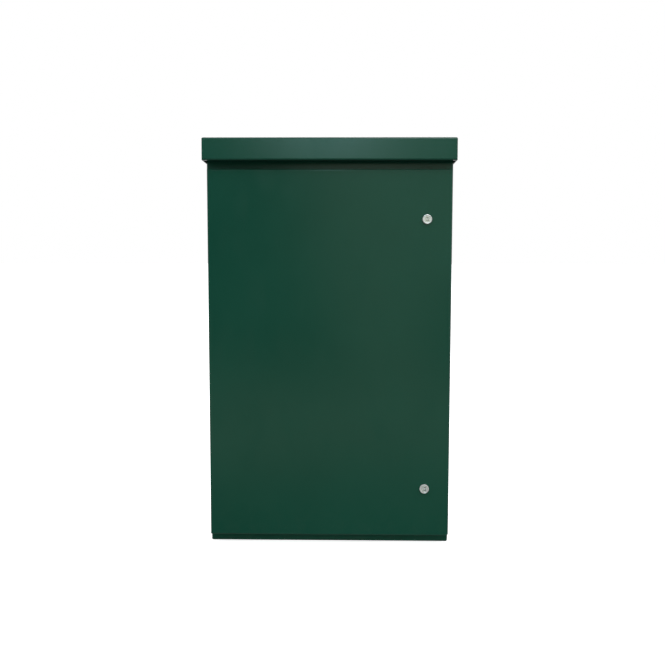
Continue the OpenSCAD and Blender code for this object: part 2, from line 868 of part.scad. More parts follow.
// Turning insert: a flange in the head's recess, a key well with a bar across it and a square end
module lock_insert(i) {
    shaft_r = insert_d / 2 - run_gap;
    face_z = well_z + run_gap + 1.7;
    key_r = insert_d / 2 - 1.3;
    key_depth = 9;
    color(chrome)
        at_lock(i)
            difference() {
                union() {
                    translate([0, 0, well_z + run_gap]) cylinder(h = 1.7, r = well_r - run_gap);
                    translate([0, 0, cam_z + cam_t]) cylinder(h = well_z - cam_z - cam_t + 1, r = shaft_r);
                    translate([-drive_w / 2, -drive_w / 2, cam_z + 0.1]) cube([drive_w, drive_w, cam_t + 1]);
                }
                difference() {
                    translate([0, 0, face_z - key_depth]) cylinder(h = key_depth + eps, r = key_r);
                    translate([0, 0, face_z - key_depth - eps]) cylinder(h = key_depth, r = key_r * 0.45);
                    translate([-key_r, -1.5, face_z - key_depth - eps])
                        cube([2 * key_r, 3, key_depth]);
                }
                translate([0, 0, cam_z - eps]) cylinder(h = 10.5 + eps, r = cam_screw_d / 2 + fit_gap);
            }
}

module lock_insert_lower() { lock_insert(0); }
module lock_insert_upper() { lock_insert(1); }

// Cam, hanging down at rest, where it is clear of the frame
module lock_cam(i) {
    tip = cam_reach - cam_w / 2;
    color(zinc)
        at_lock(i) translate([0, 0, cam_z])
            difference() {
                linear_extrude(cam_t) {
                    circle(cam_w / 2);
                    translate([0, -tip]) circle(cam_w / 2);
                    translate([-cam_w / 2, -tip]) square([cam_w, tip]);
                }
                translate([0, 0, cam_t / 2])
                    cube([drive_w + 0.1, drive_w + 0.1, cam_t + 2 * eps], center = true);
            }
}

module lock_cam_lower() { lock_cam(0); }
module lock_cam_upper() { lock_cam(1); }

module cam_screw(i) {
    color(zinc) at_lock(i) translate([0, 0, cam_z]) {
        translate([0, 0, -3]) hex_bar(2.2 * cam_screw_d, 3);
        cylinder(h = 9, r = cam_screw_d / 2);
    }
}

module cam_screw_lower() { cam_screw(0); }
module cam_screw_upper() { cam_screw(1); }

body_wrap();
base_ring();
sill_strip();
header_strip();
top_panel();
roof_canopy();
roof_bar_front();
roof_bar_rear();
roof_bolts();
roof_washers();
roof_weld_nuts();
floor_plate_front();
floor_plate_rear();
slot_edging_front();
slot_edging_rear();
floor_screws();
floor_weld_nuts();
backboard();
backboard_spacers();
backboard_screws();
earth_stud();
earth_nuts();
door_seal();
hinge_body_leaf_lower();
hinge_body_leaf_upper();
hinge_pin_lower();
hinge_pin_upper();
hinge_thrust_washers();
hinge_screws();
hinge_screw_nuts();
door_panel();
door_stiffener();
hinge_door_leaf_lower();
hinge_door_leaf_upper();
door_hinge_studs();
door_hinge_nuts();
door_earth_stud();
door_earth_nut();
lock_housing_lower();
lock_housing_upper();
lock_gaskets();
lock_nuts();
lock_insert_lower();
lock_insert_upper();
lock_cam_lower();
lock_cam_upper();
cam_screw_lower();
cam_screw_upper();
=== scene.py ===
"""Roadside utility cabinet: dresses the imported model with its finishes, fittings and studio."""

from __future__ import annotations

import logging
import math
from contextlib import contextmanager
from dataclasses import dataclass
from enum import Enum
from typing import Callable, Iterator, Sequence

import bmesh
import bpy
from mathutils import Matrix, Vector


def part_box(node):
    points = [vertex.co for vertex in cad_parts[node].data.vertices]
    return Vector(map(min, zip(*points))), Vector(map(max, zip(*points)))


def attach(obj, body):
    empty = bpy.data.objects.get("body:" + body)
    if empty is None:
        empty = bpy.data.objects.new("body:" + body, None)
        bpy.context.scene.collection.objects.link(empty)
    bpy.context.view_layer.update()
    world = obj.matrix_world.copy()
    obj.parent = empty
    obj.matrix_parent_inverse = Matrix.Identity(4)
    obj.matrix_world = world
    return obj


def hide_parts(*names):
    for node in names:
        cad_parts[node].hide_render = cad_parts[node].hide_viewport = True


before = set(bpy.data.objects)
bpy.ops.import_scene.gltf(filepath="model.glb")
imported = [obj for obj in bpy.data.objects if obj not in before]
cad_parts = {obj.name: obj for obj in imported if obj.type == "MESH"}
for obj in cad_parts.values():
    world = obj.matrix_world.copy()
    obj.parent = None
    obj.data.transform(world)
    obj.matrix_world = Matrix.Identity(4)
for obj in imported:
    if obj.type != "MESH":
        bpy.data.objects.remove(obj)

log = logging.getLogger("cabinet")

MM = 0.001
TAU = 2 * math.pi
SAME_SPOT = 0.002 * MM
SAME_CORNER = 0.004 * MM
SAME_FACE = math.radians(0.4)
HALF_FACET = math.radians(30)
CORE_DEPTH = 0.61
RIB_DEPTH = 0.72
CLOCKING = 60.0
ROUND_SHADING = 50.0
Rgb = tuple[float, float, float]


class Slot(Enum):
    """The record's names of the finishes."""

    PAINT = "green_powder_coat"
    ZINC = "zinc_steel"
    CHROME = "chrome_plate"
    RUBBER = "black_rubber"
    NYLON = "white_nylon"
    BRASS = "brass"
    PLYWOOD = "plywood"


class Facing(Enum):
    """The way a fitting's own +Z points once it is in place."""

    UP = ("X", 0.0)
    DOWN = ("X", 180.0)
    FRONT = ("X", 90.0)
    BACK = ("X", -90.0)

    def turn(self) -> Matrix:
        """The rotation that points +Z this way."""
        return Matrix.Rotation(math.radians(self.value[1]), 4, self.value[0])


# ---- Shader wiring ----


@dataclass(frozen=True)
class Wire:
    """A value that runs between nodes and can be used in sums."""

    tree: bpy.types.NodeTree
    socket: bpy.types.NodeSocket

    def _sum(self, operation: str, *terms: Wire | float) -> Wire:
        """Adds the Math node that works out one operation.

        Args:
            operation: The Math node's operation.
            terms: Its inputs in order, each a wire or a number.

        Returns:
            The node's result.
        """
        node = self.tree.nodes.new("ShaderNodeMath")
        node.operation = operation
        for socket, term in zip(node.inputs, terms):
            if isinstance(term, Wire):
                self.tree.links.new(term.socket, socket)
            else:
                socket.default_value = term
        return Wire(self.tree, node.outputs[0])

    def __add__(self, other: Wire | float) -> Wire:
        """This plus another."""
        return self._sum("ADD", self, other)

    __radd__ = __add__

    def __sub__(self, other: Wire | float) -> Wire:
        """This less another."""
        return self._sum("SUBTRACT", self, other)

    def __rsub__(self, other: float) -> Wire:
        """A number less this."""
        return self._sum("SUBTRACT", other, self)

    def __mul__(self, other: Wire | float) -> Wire:
        """This times another."""
        return self._sum("MULTIPLY", self, other)

    __rmul__ = __mul__

    def __truediv__(self, other: Wire | float) -> Wire:
        """This over another."""
        return self._sum("DIVIDE", self, other)

    def __pow__(self, other: float) -> Wire:
        """This to a power."""
        return self._sum("POWER", self, other)

    def size(self) -> Wire:
        """The value without its sign."""
        return self._sum("ABSOLUTE", self)

    def part(self) -> Wire:
        """What is left after whole numbers are taken away."""
        return self._sum("FRACT", self)

    def most(self, other: Wire | float) -> Wire:
        """The larger of this and another."""
        return self._sum("MAXIMUM", self, other)


class Graph:
    """The nodes of one material or of the surroundings."""

    def __init__(self, tree: bpy.types.NodeTree) -> None:
        """Starts with an empty tree."""
        self.tree = tree
        tree.nodes.clear()

    def make(
        self, kind: str, settings: dict | None = None, inputs: dict | None = None
    ) -> bpy.types.Node:
        """Adds a node, sets it up and then feeds its sockets.

        Args:
            kind: The node's type.
            settings: Its settings by name, with a ramp's stops as pairs under "stops".
            inputs: Wires or plain values by socket name or number.

        Returns:
            The new node.
        """
        node = self.tree.nodes.new(kind)
        for name, value in (settings or {}).items():
            if name == "stops":
                self._set_stops(node.color_ramp, value)
            else:
                setattr(node, name, value)
        for name, value in (inputs or {}).items():
            if isinstance(value, Wire):
                self.tree.links.new(value.socket, node.inputs[name])
            else:
                node.inputs[name].default_value = value
        return node

    @staticmethod
    def _set_stops(ramp: bpy.types.ColorRamp, stops: Sequence[tuple[float, float]]) -> None:
        """Gives a ramp its stops.

        Args:
            ramp: The ramp of a new node, which has two stops.
            stops: Position and grey level of each stop.
        """
        while len(ramp.elements) < len(stops):
            ramp.elements.new(0.5)
        for element, (position, level) in zip(ramp.elements, stops):
            element.position = position
            element.color = (level, level, level, 1)

    def wire(self, node: bpy.types.Node, output: str | int = 0) -> Wire:
        """One output of a node as a wire."""
        return Wire(self.tree, node.outputs[output])

    def place(self, stretch: Rgb = (1.0, 1.0, 1.0), turn: Rgb = (0.0, 0.0, 0.0)) -> Wire:
        """Object coordinates, scaled and turned.

        Args:
            stretch: Scale along each axis.
            turn: Rotation about each axis in radians.

        Returns:
            The coordinates.
        """
        coords = self.wire(self.make("ShaderNodeTexCoord"), "Object")
        inputs = {"Vector": coords, "Scale": stretch, "Rotation": turn}
        return self.wire(self.make("ShaderNodeMapping", {}, inputs))

    def axes(self, vector: Wire) -> tuple[Wire, Wire, Wire]:
        """The three numbers of a vector."""
        node = self.make("ShaderNodeSeparateXYZ", {}, {0: vector})
        return self.wire(node, 0), self.wire(node, 1), self.wire(node, 2)

    def facing(self) -> tuple[Wire, Wire, Wire]:
        """The piece's own normal, as three numbers."""
        return self.axes(self.wire(self.make("ShaderNodeTexCoord"), "Normal"))

    def noise(self, vector: Wire, scale: float, detail: float = 2.0, rough: float = 0.5) -> Wire:
        """Smooth noise from about 0.3 to 0.7.

        Args:
            vector: Where it is read.
            scale: Features in a metre.
            detail: Number of finer layers.
            rough: Strength of the finer layers.

        Returns:
            The noise value.
        """
        inputs = {"Vector": vector, "Scale": scale, "Detail": detail, "Roughness": rough}
        return self.wire(self.make("ShaderNodeTexNoise", {}, inputs))

    def cells(self, vector: Wire, scale: float) -> Wire:
        """Distance to the nearest of scattered points, `scale` of them in a metre."""
        return self.wire(
            self.make("ShaderNodeTexVoronoi", {}, {"Vector": vector, "Scale": scale})
        )

    def ease(self, value: Wire, low: float, high: float, start: float = 0.0, end: float = 1.0) -> Wire:
        """Maps a value smoothly from one range to another.

        Args:
            value: What is mapped.
            low: Where the result is start.
            high: Where the result is end.
            start: Result at and below low.
            end: Result at and above high.

        Returns:
            The mapped value.
        """
        inputs = {"Value": value, "From Min": low, "From Max": high, "To Min": start, "To Max": end}
        return self.wire(
            self.make("ShaderNodeMapRange", {"interpolation_type": "SMOOTHSTEP"}, inputs)
        )

    def tint(self, factor: Wire | float, first: Wire | Rgb, second: Wire | Rgb) -> Wire:
        """Mixes two colours.

        Args:
            factor: Share of the second colour.
            first: The colour at 0.
            second: The colour at 1.

        Returns:
            The mixed colour.
        """
        pair = [c if isinstance(c, Wire) else (*c, 1.0) for c in (first, second)]
        node = self.make(
            "ShaderNodeMix", {"data_type": "RGBA"}, {0: factor, 6: pair[0], 7: pair[1]}
        )
        return self.wire(node, 2)

    def edges(self, radius: float) -> Wire:
        """Mask of the piece's edges.

        Args:
            radius: How far from an edge the mask reaches, in metres.

        Returns:
            0 on a flat and up to 1 on an edge.
        """
        round_off = self.wire(self.make("ShaderNodeBevel", {"samples": 4}, {"Radius": radius}))
        flat = self.wire(self.make("ShaderNodeNewGeometry"), "Normal")
        dot = self.make(
            "ShaderNodeVectorMath", {"operation": "DOT_PRODUCT"}, {0: round_off, 1: flat}
        )
        return self.ease(self.wire(dot, "Value"), 0.995, 0.8, 0.0, 1.0)

    def relief(self, *layers: tuple[Wire, float]) -> Wire:
        """Relief in the surface.

        Args:
            layers: The height from 0 to 1, and the height in metres at 1, coarsest layer first.

        Returns:
            The surface's normal.
        """
        under = {}
        for height, depth in layers:
            inputs = {"Height": height, "Distance": depth, "Strength": 1.0, **under}
            under = {"Normal": self.wire(self.make("ShaderNodeBump", {}, inputs))}
        return under["Normal"]

    def surface(self, colour: Wire, rough: Wire | float, rest: dict) -> None:
        """Ends the tree in a Principled shader.

        Args:
            colour: The base colour.
            rough: The roughness.
            rest: The shader's other inputs by name.
        """
        inputs = {"Base Color": colour, "Roughness": rough, **rest}
        shader = self.make("ShaderNodeBsdfPrincipled", {}, inputs)
        self.make("ShaderNodeOutputMaterial", {}, {0: self.wire(shader)})


# ---- Finishes ----


@dataclass(frozen=True)
class Finish:
    """A finish of the cabinet: its name in the record and how its surface is made."""

    slot: Slot

    def paint(self, graph: Graph) -> None:
        """Fills the material's tree, which each finish does in its own way."""
        raise NotImplementedError

    def material(self) -> bpy.types.Material:
        """The finish's one material, made when it is first asked for.

        Returns:
            The material.
        """
        name = self.slot.value
        if name not in FINISHED:
            made = bpy.data.materials.new(name)
            made.use_nodes = True
            self.paint(Graph(made.node_tree))
            FINISHED[name] = made
        return FINISHED[name]


FINISHED: dict[str, bpy.types.Material] = {}


@dataclass(frozen=True)
class PowderCoat(Finish):
    """Half-gloss dark green powder coat: orange peel, thin pale edges and a little road dust."""

    slot: Slot = Slot.PAINT
    deep: Rgb = (0.0062, 0.0660, 0.0420)
    light: Rgb = (0.0076, 0.0730, 0.0470)
    worn: Rgb = (0.024, 0.095, 0.070)
    dust: Rgb = (0.20, 0.19, 0.16)
    roughness: float = 0.15
    gloss: float = 0.36

    def paint(self, graph: Graph) -> None:
        """Fills the material's tree.

        Args:
            graph: The tree's nodes.
        """
        place = graph.place()
        cloud = graph.ease(graph.noise(place, 3.1, 3.0), 0.3, 0.7)
        peel = graph.noise(place, 620.0, 2.0)
        grain = graph.noise(place, 2600.0, 1.0)
        broken = graph.ease(graph.noise(place, 160.0, 3.0), 0.42, 0.62)
        edge = graph.edges(1.1 * MM) * broken
        up = graph.facing()[2]
        height = graph.axes(place)[2]
        film = graph.ease(graph.noise(place, 42.0, 5.0, 0.65), 0.38, 0.78)
        lying = graph.ease(up, 0.55, 1.0) * film * 0.035
        splash = graph.ease(height, 0.16, 0.0) * film * 0.02
        dusty = lying + splash
        colour = graph.tint(cloud, self.deep, self.light)
        colour = graph.tint(edge * 0.55, colour, self.worn)
        colour = graph.tint(dusty, colour, self.dust)
        scuff = graph.ease(graph.noise(graph.place((1.0, 1.0, 0.35)), 24.0, 4.0), 0.45, 0.75)
        rough = self.roughness + cloud * 0.03 + scuff * 0.05 + edge * 0.12 + dusty * 1.6
        relief = graph.relief((peel, 0.030 * MM), (grain, 0.006 * MM))
        graph.surface(colour, rough, {"Normal": relief, "Specular IOR Level": self.gloss})


@dataclass(frozen=True)
class ZincPlate(Finish):
    """Bright zinc plate: a soft grey metal, clouded, with the steel's fine scratches below."""

    slot: Slot = Slot.ZINC
    bright: Rgb = (0.66, 0.68, 0.70)
    cloudy: Rgb = (0.50, 0.53, 0.57)
    warm: Rgb = (0.62, 0.60, 0.50)

    def paint(self, graph: Graph) -> None:
        """Fills the material's tree.

        Args:
            graph: The tree's nodes.
        """
        place = graph.place()
        cloud = graph.ease(graph.noise(place, 130.0, 4.0), 0.35, 0.68)
        stain = graph.ease(graph.noise(place, 48.0, 3.0), 0.52, 0.74)
        scratch = graph.noise(graph.place((1.0, 9.0, 9.0)), 900.0, 2.0)
        pits = graph.ease(graph.cells(place, 900.0), 0.0, 0.5)
        edge = graph.edges(0.5 * MM)
        colour = graph.tint(cloud, self.bright, self.cloudy)
        colour = graph.tint(stain * 0.35, colour, self.warm)
        colour = graph.tint(edge * 0.4, colour, (0.78, 0.80, 0.82))
        rough = 0.26 + cloud * 0.14 + scratch * 0.08
        relief = graph.relief((scratch, 0.006 * MM), (pits, 0.004 * MM))
        graph.surface(colour, rough, {"Metallic": 1.0, "Normal": relief})


@dataclass(frozen=True)
class ChromePlate(Finish):
    """Polished chrome plate with faint wiping marks and a touch of grime."""

    slot: Slot = Slot.CHROME
    bright: Rgb = (0.90, 0.90, 0.92)
    grimy: Rgb = (0.40, 0.40, 0.40)
    metal: float = 0.6

    def paint(self, graph: Graph) -> None:
        """Fills the material's tree.

        Args:
            graph: The tree's nodes.
        """
        place = graph.place()
        smear = graph.ease(graph.noise(place, 210.0, 4.0, 0.6), 0.42, 0.75)
        scratch = graph.noise(graph.place((14.0, 1.0, 2.0), (0.0, 0.5, 0.0)), 700.0, 2.0)
        grime = graph.ease(graph.noise(place, 420.0, 3.0), 0.58, 0.78)
        colour = graph.tint(grime * 0.5, self.bright, self.grimy)
        rough = 0.10 + smear * 0.10 + grime * 0.18
        relief = graph.relief((graph.noise(place, 340.0, 2.0), 0.16 * MM), (scratch, 0.0015 * MM))
        graph.surface(colour, rough, {"Metallic": self.metal, "Normal": relief})


@dataclass(frozen=True)
class BlackRubber(Finish):
    """Matt black rubber with a fine skin, bloomed grey in places."""

    slot: Slot = Slot.RUBBER
    black: Rgb = (0.010, 0.010, 0.011)
    bloom: Rgb = (0.045, 0.045, 0.044)

    def paint(self, graph: Graph) -> None:
        """Fills the material's tree.

        Args:
            graph: The tree's nodes.
        """
        place = graph.place()
        bloom = graph.ease(graph.noise(place, 34.0, 5.0, 0.6), 0.40, 0.75)
        skin = graph.noise(place, 1500.0, 3.0)
        lines = graph.noise(graph.place((0.06, 1.0, 0.06)), 1100.0, 1.0)
        colour = graph.tint(bloom, self.black, self.bloom)
        rough = 0.52 + bloom * 0.24
        relief = graph.relief((skin, 0.02 * MM), (lines, 0.012 * MM))
        graph.surface(colour, rough, {"Normal": relief, "Specular IOR Level": 0.4})


@dataclass(frozen=True)
class Nylon(Finish):
    """Natural nylon, a little yellowed and finely turned."""

    slot: Slot = Slot.NYLON
    clean: Rgb = (0.74, 0.71, 0.62)
    aged: Rgb = (0.58, 0.52, 0.40)

    def paint(self, graph: Graph) -> None:
        """Fills the material's tree.

        Args:
            graph: The tree's nodes.
        """
        place = graph.place()
        age = graph.ease(graph.noise(place, 260.0, 3.0), 0.4, 0.7)
        rings = graph.noise(graph.place((1.0, 1.0, 18.0)), 420.0, 2.0)
        relief = graph.relief((rings, 0.01 * MM))
        graph.surface(graph.tint(age, self.clean, self.aged), 0.42 + age * 0.12, {"Normal": relief})


@dataclass(frozen=True)
class TurnedBrass(Finish):
    """Plain brass with tool marks, dulled in patches."""

    slot: Slot = Slot.BRASS
    bright: Rgb = (0.78, 0.55, 0.24)
    dull: Rgb = (0.36, 0.24, 0.11)

    def paint(self, graph: Graph) -> None:
        """Fills the material's tree.

        Args:
            graph: The tree's nodes.
        """
        place = graph.place()
        tarnish = graph.ease(graph.noise(place, 180.0, 4.0), 0.42, 0.72)
        marks = graph.noise(graph.place((1.0, 12.0, 1.0)), 800.0, 2.0)
        edge = graph.edges(0.4 * MM)
        colour = graph.tint(tarnish, self.bright, self.dull)
        colour = graph.tint(edge * 0.5, colour, self.bright)
        relief = graph.relief((marks, 0.008 * MM))
        graph.surface(colour, 0.24 + tarnish * 0.2, {"Metallic": 1.0, "Normal": relief})


@dataclass(frozen=True)
class BirchPlywood(Finish):
    """Unsealed birch plywood: a long upright grain on its faces and bare plies on its edges."""

    slot: Slot = Slot.PLYWOOD
    pale: Rgb = (0.62, 0.45, 0.27)
    brown: Rgb = (0.42, 0.27, 0.14)
    end_grain: Rgb = (0.24, 0.145, 0.075)
    ply: float = 1.35 * MM

    def paint(self, graph: Graph) -> None:
        """Fills the material's tree.

        Args:
            graph: The tree's nodes.
        """
        warp = graph.noise(graph.place((1.0, 1.0, 0.25)), 7.0, 2.0)
        long_grain = graph.place((1.0, 1.0, 0.035))
        bend = graph.make("ShaderNodeVectorMath", {"operation": "ADD"}, {0: long_grain, 1: warp * 0.04})
        figure = graph.noise(graph.wire(bend), 62.0, 4.0, 0.6)
        pores = graph.noise(graph.place((1.0, 1.0, 0.05)), 900.0, 2.0)
        across = graph.axes(graph.place())[1]
        layer = (across / (2 * self.ply)).part()
        turned = graph.ease((layer - 0.5).size(), 0.23, 0.27)
        on_edge = graph.ease(graph.facing()[1].size(), 0.8, 0.4)
        speck = graph.noise(graph.place(), 1400.0, 2.0)
        face = graph.tint(graph.ease(figure, 0.36, 0.66), self.pale, self.brown)
        face = graph.tint(graph.ease(pores, 0.60, 0.75) * 0.4, face, self.end_grain)
        side = graph.tint(turned, self.pale, self.end_grain)
        side = graph.tint(graph.ease(speck, 0.5, 0.8) * 0.5, side, self.end_grain)
        colour = graph.tint(on_edge, face, side)
        rough = 0.62 + graph.ease(figure, 0.3, 0.7) * 0.12
        relief = graph.relief((pores, 0.05 * MM), (turned * on_edge, 0.10 * MM))
        graph.surface(colour, rough, {"Normal": relief, "Specular IOR Level": 0.35})


# ---- Workbench ----


class Bench:
    """The operations that shape one piece at a time."""

    @staticmethod
    def take(*pieces: bpy.types.Object) -> None:
        """Selects only these objects and makes the first one active.

        Args:
            pieces: The objects to select.
        """
        bpy.ops.object.select_all(action="DESELECT")
        for piece in pieces:
            piece.select_set(True)
        bpy.context.view_layer.objects.active = pieces[0]

    @staticmethod
    @contextmanager
    def editing(piece: bpy.types.Object) -> Iterator[None]:
        """Edit mode on one piece, with all of its mesh selected.

        Args:
            piece: The object to edit.

        Yields:
            Nothing; the piece is back in object mode afterwards.
        """
        Bench.take(piece)
        bpy.ops.object.mode_set(mode="EDIT")
        bpy.ops.mesh.select_mode(type="VERT")
        bpy.ops.mesh.select_all(action="SELECT")
        try:
            yield
        finally:
            bpy.ops.object.mode_set(mode="OBJECT")

    @staticmethod
    def choose_edges(piece: bpy.types.Object, wanted: Callable[[Vector, Vector], bool]) -> None:
        """Selects edges by their place, in edit mode.

        Args:
            piece: The object in edit mode.
            wanted: Says from an edge's two ends whether it is chosen.
        """
        bpy.ops.mesh.select_mode(type="EDGE")
        bpy.ops.mesh.select_all(action="DESELECT")
        mesh = bmesh.from_edit_mesh(piece.data)
        for edge in mesh.edges:
            edge.select_set(wanted(edge.verts[0].co, edge.verts[1].co))
        bmesh.update_edit_mesh(piece.data)

    @staticmethod
    def settle(piece: bpy.types.Object) -> None:
        """Puts a piece's place into its mesh and its object at the origin."""
        Bench.take(piece)
        bpy.ops.object.transform_apply(location=True, rotation=True, scale=True)

    @staticmethod
    def apply(piece: bpy.types.Object, kind: str, settings: dict) -> None:
        """Adds a modifier, sets it up and applies it.

        Args:
            piece: The object to change.
            kind: The modifier's type.
            settings: Its settings by name.
        """
        Bench.take(piece)
        modifier = piece.modifiers.new(kind.title(), kind)
        for name, value in settings.items():
            setattr(modifier, name, value)
        bpy.ops.object.modifier_apply(modifier=modifier.name)

    @staticmethod
    def shape(piece: bpy.types.Object, tool: bpy.types.Object, operation: str) -> None:
        """Cuts, joins or crosses a piece with another, which is used up.

        Args:
            piece: The object to change.
            tool: The other shape.
            operation: The Boolean modifier's operation.
        """
        Bench.apply(piece, "BOOLEAN", {"operation": operation, "object": tool, "solver": "EXACT"})
        bpy.data.objects.remove(tool)

    @staticmethod
    def smooth(piece: bpy.types.Object, angle: float = 32.0) -> None:
        """Shades a piece smooth except over edges sharper than the angle."""
        Bench.take(piece)
        bpy.ops.object.shade_smooth_by_angle(angle=math.radians(angle))

    @staticmethod
    def soften(piece: bpy.types.Object, width: float, segments: int, sharp: float) -> None:
        """Rounds a piece's sharp edges and keeps its flats shaded flat.

        Args:
            piece: The object to change.
            width: Width of the rounding in mm.
            segments: Number of flats across it.
            sharp: Edges turned by more than this many degrees are rounded.
        """
        settings = {"width": width * MM, "segments": segments, "limit_method": "ANGLE"}
        settings |= {"angle_limit": math.radians(sharp), "use_clamp_overlap": True}
        Bench.apply(piece, "BEVEL", settings)
        Bench.smooth(piece, ROUND_SHADING)
        Bench.apply(piece, "WEIGHTED_NORMAL", {"weight": 100, "keep_sharp": True})

    @staticmethod
    def join(pieces: Sequence[bpy.types.Object], name: str) -> bpy.types.Object:
        """Makes one object of several.

        Args:
            pieces: The objects to join.
            name: The name of the result.

        Returns:
            The joined object.
        """
        Bench.take(*pieces)
        if len(pieces) > 1:
            bpy.ops.object.join()
        pieces[0].name = name
        return pieces[0]

    @staticmethod
    def copy_node(node: str, name: str) -> bpy.types.Object:
        """Copies a CAD node's mesh, with its loose triangles merged into flat faces.

        Args:
            node: The node's name.
            name: The copy's name.

        Returns:
            The copy.
        """
        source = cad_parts[node]
        piece = bpy.data.objects.new(name, source.data.copy())
        bpy.context.scene.collection.objects.link(piece)
        piece.data.materials.clear()
        with Bench.editing(piece):
            bpy.ops.mesh.remove_doubles(threshold=SAME_CORNER)
            bpy.ops.mesh.dissolve_limited(angle_limit=SAME_FACE)
        return piece

    @staticmethod
    def parts_of(node: str) -> list[tuple[Vector, Vector]]:
        """The box of each separate solid in a CAD node.

        Args:
            node: The node's name.

        Returns:
            Lowest and highest corner of each solid, in a fixed order.
        """
        piece = Bench.copy_node(node, "parts")
        Bench.take(piece)
        with Bench.editing(piece):
            bpy.ops.mesh.separate(type="LOOSE")
        boxes = []
        for part in list(bpy.context.selected_objects):
            spots = [vertex.co for vertex in part.data.vertices]
            low = Vector([min(spot[i] for spot in spots) for i in range(3)])
            high = Vector([max(spot[i] for spot in spots) for i in range(3)])
            boxes.append((low, high))
            bpy.data.objects.remove(part)
        return sorted(boxes, key=lambda box: tuple(round(value, 5) for value in box[0]))

    @staticmethod
    def place_copies(
        model: bpy.types.Object, places: Sequence[Matrix], name: str
    ) -> bpy.types.Object:
        """Copies a model to each of its places and joins the copies; the model is used up.

        Args:
            model: What is copied, at the origin.
            places: Where each copy goes.
            name: The name of the joined piece.

        Returns:
            The joined piece.
        """
        copies = []
        for matrix in places:
            copy = bpy.data.objects.new(name, model.data.copy())
            bpy.context.scene.collection.objects.link(copy)
            copy.matrix_world = matrix
            Bench.settle(copy)
            copies.append(copy)
        bpy.data.objects.remove(model)
        return Bench.join(copies, name)

    @staticmethod
    def hand_over(piece: bpy.types.Object, finish: Finish, body: str, nodes: Sequence[str]) -> None:
        """Dresses a finished piece and gives it to its body in place of CAD nodes.

        Args:
            piece: The finished piece.
            finish: Its finish.
            body: The body that it rides on.
            nodes: The CAD nodes that it stands for.
        """
        piece.data.materials.clear()
        piece.data.materials.append(finish.material())
        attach(piece, body)
        if nodes:
            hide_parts(*nodes)
        log.info("%s: %d faces on %s", piece.name, len(piece.data.polygons), body)


